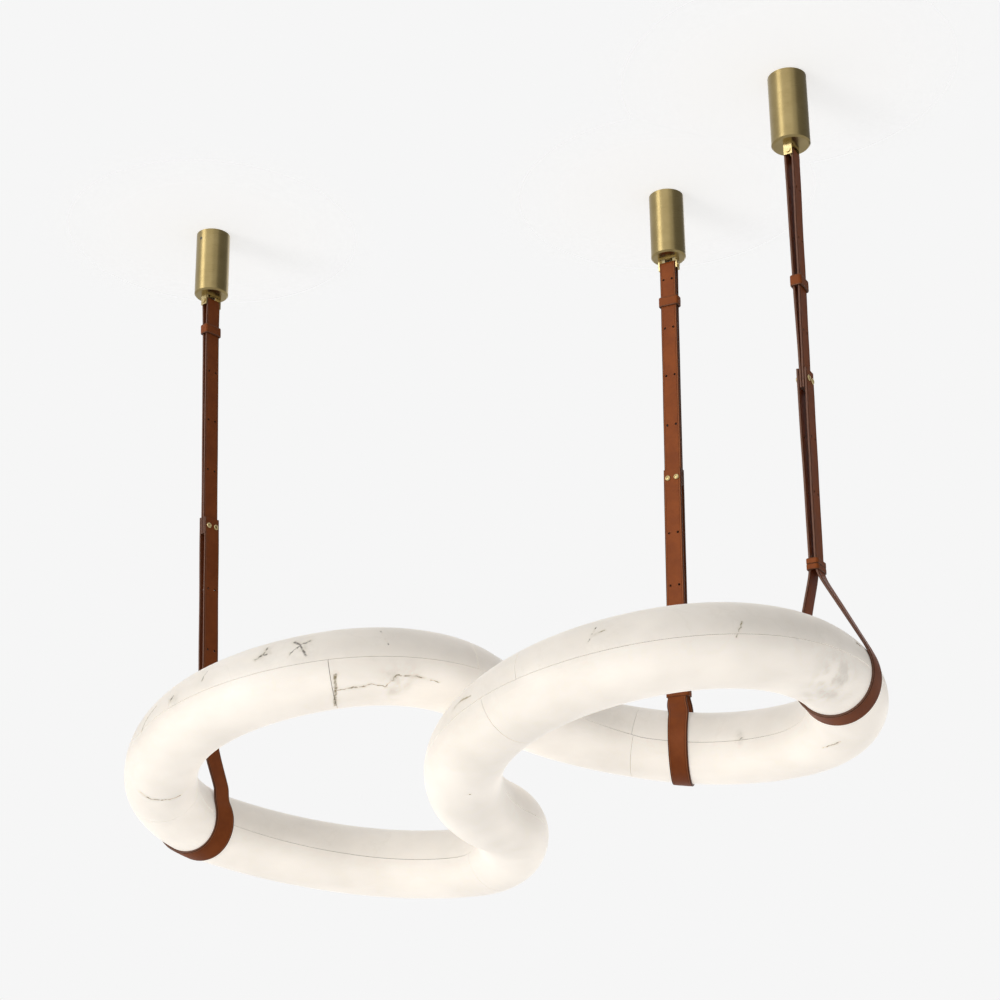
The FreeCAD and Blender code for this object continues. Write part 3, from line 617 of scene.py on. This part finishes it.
def strap_mesh(name, line, route, sling):
    """A leather strip along a route, with rounded edges. Its wrapped part lies on the stone."""
    count = len(route)
    trees = stone_surface(line) if sling else []
    places = [(line.sling_spot if sling else line.spot)(across, z) for across, z in route]
    vertices, uvs, run = [], [], 0.0
    ring = [(u, f) for u, f in SECTION] + [(u, -f) for u, f in reversed(SECTION)]
    seed = {"left": 3.1, "mid": 7.7, "right": 12.9}[line.side]
    for i, (place, (across, z)) in enumerate(zip(places, route)):
        run += (place - places[i - 1]).length if i else 0.0
        ahead = places[min(i + 1, count - 1)] - places[max(i - 1, 0)]
        width = line.along.copy()
        if sling and z < line.foot:
            share = smooth_step((line.foot - z) / (line.foot - line.touch))
            width = line.along * (1 - share) + line.slope * share
        width = (width - ahead * (width.dot(ahead) / ahead.length_squared)).normalized()
        out = ahead.cross(width).normalized()
        wrap = smooth_step((line.touch + 0.012 - z) / 0.03) if sling else 0.0
        free = min(1.0, abs(z - line.studs) / 0.05, abs(z - line.keeper) / 0.04, abs(z - line.foot) / 0.04,
                   max(0.0, (PIN_Z - 0.02 - z) / 0.05)) * (1 - wrap)
        ripple = noise.noise(Vector((z * 9.0, seed, 0.3 if across > 0 else 4.0))) * 0.0007 * max(0.0, free)
        cup = 0.00025 * free
        half = line.half_width(z)
        flat = [place + out * (ripple - cup * (1 - u * u)) + width * (u * half) for u, _ in SECTION]
        normals = [out] * len(SECTION)
        if wrap > 0:
            inward = 1 if (line.spot(line.tube_across, line.tube.z) - place).dot(out) > 0 else -1
            for k, point in enumerate(flat):
                laid, outward = lay_on_stone(point, trees)
                flat[k] = point.lerp(laid, wrap)
                normals[k] = (out * (1 - wrap) + outward * (-inward * wrap)).normalized()
        for k, (u, f) in enumerate(SECTION):
            vertices.append(flat[k] + normals[k] * (f * LEATHER / 2))
            uvs.append(((u + 1) / 2, run))
        for k in reversed(range(len(SECTION))):
            u, f = SECTION[k]
            vertices.append(flat[k] - normals[k] * (f * LEATHER / 2))
            uvs.append(((u + 1) / 2, run))
    m = len(ring)
    faces, kinds = [], []
    edge_bands = {0, len(SECTION) - 2, len(SECTION) - 1, len(SECTION), m - 2, m - 1}
    for i in range(count - 1):
        for k in range(m):
            n = (k + 1) % m
            faces.append((i * m + k, i * m + n, (i + 1) * m + n, (i + 1) * m + k))
            kinds.append(1 if k in edge_bands else 0)
    for row, order in ((0, reversed(range(m))), (count - 1, range(m))):
        faces.append(tuple(row * m + k for k in order))
        kinds.append(1)
    slot = "cognac_leather"
    obj = new_object(name, vertices, faces, (LOOKS[slot], EDGE))
    layer = obj.data.uv_layers.new(name="strip")
    for loop in obj.data.loops:
        layer.data[loop.index].uv = uvs[loop.vertex_index]
    for polygon, kind in zip(obj.data.polygons, kinds):
        polygon.material_index = kind
    recalculate(obj)
    return obj


def recalculate(obj):
    mesh = bmesh.new()
    mesh.from_mesh(obj.data)
    bmesh.ops.recalc_face_normals(mesh, faces=mesh.faces)
    mesh.to_mesh(obj.data)
    mesh.free()


def punch(obj, line, heights, radius):
    """Round holes, two at each height, through every layer of the strap."""
    depth = line.across * 0.02
    ends = []
    for z in heights:
        middle = line.spot(line.middle(z), z)
        for sign in (-1, 1):
            spot = middle + line.along * (sign * STUD_SPACING / 2)
            ends.append((spot - depth, spot + depth))
    carve(obj, rods("punch", ends, radius, (LOOKS["cognac_leather"], EDGE), 1))


def hang(obj, line, node):
    """Bake a strap piece's placement into its mesh, and hide the CAD node that it stands in for."""
    tuple(line.spot(0, line.keeper - 0.016))
    tuple(line.spot(0, line.foot))
    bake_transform(obj)
    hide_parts(line.side + node)


def studs(line):
    """Two screw posts with domed, slotted heads at both faces."""
    depth = 3 * LAYER_GAP / 2 + 2 * LEATHER
    vertices, faces = [], []
    slots = []
    middle = line.spot(line.middle(line.studs), line.studs)
    head = ((0.0050, 0.0), (0.0051, 0.0004), (0.0050, 0.0010), (0.0045, 0.0017), (0.0038, 0.0021), (0.0030, 0.0022),
            (0.0026, 0.0019), (0.0024, 0.0013), (0.0020, 0.0014), (0.0010, 0.0017), (0.0003, 0.00175))
    for sign in (-1, 1):
        centre = middle + line.along * (sign * STUD_SPACING / 2)
        lathe(vertices, faces, ((STUD_SHANK, -depth - 0.0001), (STUD_SHANK, depth + 0.0001)), centre, line.across, 24)
        for way in (-1, 1):
            axis = line.across * way
            foot = centre + axis * (depth + 0.0002)
            lathe(vertices, faces, head, foot, axis)
            turn = Matrix.Rotation(0.5 + sign * 0.9 + way * 0.4, 3, axis)
            reach = turn @ (UP - axis * UP.dot(axis)).normalized()
            slots.append((foot + axis * 0.0019, reach * 0.0019, axis.cross(reach) * 0.00035, axis * 0.0011))
    obj = new_object(line.side + "_stud_screws", vertices, faces, (LOOKS["aged_brass"],))
    recalculate(obj)
    corners, sides = [], []
    for centre, a, b, c in slots:
        first = len(corners)
        for i, j, k in ((-1, -1, -1), (1, -1, -1), (1, 1, -1), (-1, 1, -1), (-1, -1, 1), (1, -1, 1), (1, 1, 1), (-1, 1, 1)):
            corners.append(centre + a * i + b * j + c * k)
        sides += [tuple(first + n for n in face) for face in
                  ((3, 2, 1, 0), (4, 5, 6, 7), (0, 1, 5, 4), (1, 2, 6, 5), (2, 3, 7, 6), (3, 0, 4, 7))]
    cutter = new_object("slots", corners, sides, (LOOKS["aged_brass"],), smooth=False)
    recalculate(cutter)
    carve(obj, cutter)
    hang(obj, line, "_strap_studs")
    return obj


KEEPER_LEATHER, KEEPER_HEIGHT, KEEPER_RISE, KEEPER_CLEAR = 0.0025, 0.018, 0.002, 0.0010


def keeper(line, name, z, bands):
    """A leather loop round both layers. bands holds (foot, top, how far it stands proud)."""
    half = KEEPER_HEIGHT / 2
    low, high = line.spot(line.middle(z - half), z - half), line.spot(line.middle(z + half), z + half)
    rise = (high - low).normalized()
    middle = line.spot(line.middle(z), z)
    side = (line.along - rise * line.along.dot(rise)).normalized()
    out = rise.cross(side)
    inside_long = line.half_width(z - half) + KEEPER_CLEAR
    inside_deep = HALF_GAP + LEATHER + KEEPER_CLEAR
    rounding = 0.0022
    corner_steps = 6
    path = []
    for quarter, (sx, sy) in enumerate(((1, 1), (-1, 1), (-1, -1), (1, -1))):
        for i in range(corner_steps + 1):
            turn = math.pi / 2 * (quarter + i / corner_steps)
            direction = side * math.cos(turn) + out * math.sin(turn)
            base = side * (sx * (inside_long - rounding)) + out * (sy * (inside_deep - rounding)) + direction * rounding
            path.append((base, direction))
        next_sx, next_sy = ((-1, 1), (-1, -1), (1, -1), (1, 1))[quarter]
        start = path[-1][0]
        turn = math.pi / 2 * (quarter + 1)
        direction = side * math.cos(turn) + out * math.sin(turn)
        end = side * (next_sx * (inside_long - rounding)) + out * (next_sy * (inside_deep - rounding)) + direction * rounding
        for i in range(1, 8):
            path.append((start.lerp(end, i / 8), direction))
    vertices, faces, kinds, uvs = [], [], [], []
    for foot, top, proud in bands:
        first = len(vertices)
        thick = KEEPER_LEATHER
        outline = []
        for share, reach in ((0.0, 0.08), (0.0, 0.70), (0.035, 0.90), (0.09, 1.0), (0.17, 0.985), (0.5, 1.02),
                             (0.83, 0.985), (0.91, 1.0), (0.965, 0.90), (1.0, 0.70), (1.0, 0.08), (0.97, 0.0),
                             (0.03, 0.0)):
            outline.append((foot + (top - foot) * share, reach * thick, share))
        m = len(outline)
        for base, direction in path:
            for height, reach, share in outline:
                vertices.append(middle + base + direction * (reach + proud) + rise * height)
                uvs.append((share, 0.0))
        n = len(path)
        for i in range(n):
            j = (i + 1) % n
            for k in range(m):
                kk = (k + 1) % m
                faces.append((first + i * m + k, first + j * m + k, first + j * m + kk, first + i * m + kk))
                kinds.append(1 if k in (0, 1, 8, 9, 10) else 0)
    obj = new_object("%s_%s_loop" % (line.side, name), vertices, faces, (LOOKS["dark_leather"], EDGE))
    layer = obj.data.uv_layers.new(name="strip")
    for loop in obj.data.loops:
        layer.data[loop.index].uv = uvs[loop.vertex_index]
    for polygon, kind in zip(obj.data.polygons, kinds):
        polygon.material_index = kind
    recalculate(obj)
    body = "%s_%s_keeper" % (line.side, name)
    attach(obj, body)
    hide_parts(body)
    return obj


ONE_BAND = ((-KEEPER_HEIGHT / 2, KEEPER_HEIGHT / 2, 0.0),)
TWO_BANDS = ((-KEEPER_HEIGHT / 2, -0.0002, 0.0), (0.0002, KEEPER_HEIGHT / 2, 0.0))

for side in STRAPS:
    line = Line(side)
    route = relax(resample(line.upper_route(), 0.004), lambda p: p[1] > PIN_Z - 0.004)
    upper = strap_mesh(side + "_upper_leather", line, route, False)
    punch(upper, line, [z for z in line.holes if z > line.end], 0.0022)
    punch(upper, line, [line.studs], STUD_SHANK + 0.0002)
    hang(upper, line, "_upper_strap")
    route = relax(resample(line.sling_route(), 0.004), lambda p: p[1] < line.touch - 0.01)
    sling = strap_mesh(side + "_sling_leather", line, route, True)
    punch(sling, line, [z for z in line.holes if z < line.end], 0.0022)
    punch(sling, line, [line.studs], STUD_SHANK + 0.0002)
    hang(sling, line, "_sling_strap")
    studs(line)
    keeper(line, "upper", line.keeper, ONE_BAND)
    keeper(line, "lower", line.foot + KEEPER_RISE + KEEPER_HEIGHT / 2, TWO_BANDS)


# ---------------------------------------------------------------- room, light and camera

def one_sided(name, colour, camera_light, level, reach=None):
    """A pale surface that is seen from its front only. With reach, it fades out away from the canopies."""
    shade = Shade(name)
    path = shade.node("ShaderNodeLightPath")
    gone = shade.node("ShaderNodeNewGeometry").outputs["Backfacing"]
    if reach:
        place = shade.place()
        apart = 100.0
        for given in STRAPS.values():
            apart = shade.math("MINIMUM", apart, shade.vector("DISTANCE", place, given["axis"]))
        gone = shade.math("MAXIMUM", gone, shade.step(apart, *reach))
    matt = shade.node("ShaderNodeBsdfDiffuse", {"Color": (*colour, 1)})
    plain = shade.node("ShaderNodeEmission", {"Color": (0.922, 0.922, 0.922, 1), "Strength": level})
    seen = shade.math("MAXIMUM", path.outputs["Is Camera Ray"],
                      shade.math("MAXIMUM", path.outputs["Is Glossy Ray"], path.outputs["Is Transmission Ray"]))
    share = shade.math("MULTIPLY", seen, camera_light)
    front = shade.node("ShaderNodeMixShader", {0: share, 1: matt.outputs[0], 2: plain.outputs[0]})
    clear = shade.node("ShaderNodeBsdfTransparent")
    whole = shade.node("ShaderNodeMixShader", {0: gone, 1: front.outputs[0], 2: clear.outputs[0]})
    shade.plug(shade.output.inputs["Surface"], whole.outputs[0])
    return shade.material


def panel(name, corners, material):
    obj = new_object(name, corners, [(0, 1, 2, 3)], (material,), smooth=False)
    obj.visible_shadow = False
    return obj


ceiling = panel("ceiling_plane", ((-1.6, 1.0, 0.0004), (1.0, 1.0, 0.0004), (1.0, -1.2, 0.0004), (-1.6, -1.2, 0.0004)),
                one_sided("pale_ceiling", (0.86, 0.86, 0.86), 0.15, 4.3, (0.12, 0.36)))
ceiling.visible_diffuse = ceiling.visible_glossy = ceiling.visible_transmission = False
panel("floor_plane", ((-60, -60, -2.4), (60, -60, -2.4), (60, 60, -2.4), (-60, 60, -2.4)),
      one_sided("pale_floor", (0.86, 0.86, 0.86), 0.45, 1.50))

# A grey card on the right, which the metal reflects.
card = Shade("grey_card")
card.plug(card.output.inputs["Surface"], card.node("ShaderNodeEmission", {"Strength": 0.30}).outputs[0])
flag = panel("grey_card", ((2.2, -3.2, -0.6), (2.2, 2.6, -0.6), (2.2, 2.6, 3.0), (2.2, -3.2, 3.0)), card.material)
flag.visible_camera = flag.visible_diffuse = flag.visible_transmission = False

world = bpy.data.worlds.new("studio")
SCENE.world = world
world.use_nodes = True
tree = world.node_tree
tree.nodes.clear()
sky = tree.nodes.new("ShaderNodeBackground")
sky.inputs["Color"].default_value = (1.0, 0.995, 0.985, 1)
sky.inputs["Strength"].default_value = 0.27
back = tree.nodes.new("ShaderNodeBackground")
back.inputs["Color"].default_value = (0.922, 0.922, 0.922, 1)
back.inputs["Strength"].default_value = 1.0
ray = tree.nodes.new("ShaderNodeLightPath")
first = tree.nodes.new("ShaderNodeMath")
first.operation = "MAXIMUM"
second = tree.nodes.new("ShaderNodeMath")
second.operation = "MAXIMUM"
blend = tree.nodes.new("ShaderNodeMixShader")
out = tree.nodes.new("ShaderNodeOutputWorld")
tree.links.new(ray.outputs["Is Camera Ray"], first.inputs[0])
tree.links.new(ray.outputs["Is Transmission Ray"], first.inputs[1])
tree.links.new(first.outputs[0], second.inputs[0])
tree.links.new(ray.outputs["Is Glossy Ray"], second.inputs[1])
tree.links.new(second.outputs[0], blend.inputs[0])
tree.links.new(sky.outputs[0], blend.inputs[1])
tree.links.new(back.outputs[0], blend.inputs[2])
tree.links.new(blend.outputs[0], out.inputs[0])


def lamp(name, kind, energy, toward, place=(0, 0, 0), **settings):
    data = bpy.data.lights.new(name, kind)
    data.energy = energy
    for key, value in settings.items():
        setattr(data, key, value)
    obj = bpy.data.objects.new(name, data)
    obj.location = place
    obj.rotation_mode = "QUATERNION"
    obj.rotation_quaternion = Vector(toward).to_track_quat("-Z", "Y")
    SCENE.collection.objects.link(obj)
    return obj


lamp("key", "SUN", 1.25, (0.80, 0.58, 0.18), angle=math.radians(28), color=(1.0, 0.985, 0.96))
lamp("softbox", "SUN", 0.52, (0.87, 0.50, -0.42), angle=math.radians(24), color=(1.0, 0.99, 0.97))
lamp("fill", "SUN", 0.40, (0.35, 0.80, -0.55), angle=math.radians(60), color=(1.0, 0.99, 0.98))
lamp("rim", "SUN", 0.35, (-0.2, -0.9, -0.3), angle=math.radians(60), color=(1.0, 0.99, 0.97))

camera_data = bpy.data.cameras.new("camera")
camera_data.lens = 63.0
camera_data.sensor_width = 36.0
camera_data.shift_y = 0.14
camera = bpy.data.objects.new("camera", camera_data)
PITCH, ROLL = math.radians(16.0), math.radians(-0.67)
forward = Vector((0, math.cos(PITCH), math.sin(PITCH)))
level_up = Vector((0, -math.sin(PITCH), math.cos(PITCH)))
level_right = Vector((1, 0, 0))
right = level_right * math.cos(ROLL) + level_up * math.sin(ROLL)
upward = level_up * math.cos(ROLL) - level_right * math.sin(ROLL)
axes = Matrix((right, upward, -forward)).transposed().to_4x4()
camera.matrix_world = Matrix.Translation((-0.3155, -2.8765, -1.6695)) @ axes
SCENE.collection.objects.link(camera)
SCENE.camera = camera
SCENE.view_settings.view_transform = "Standard"
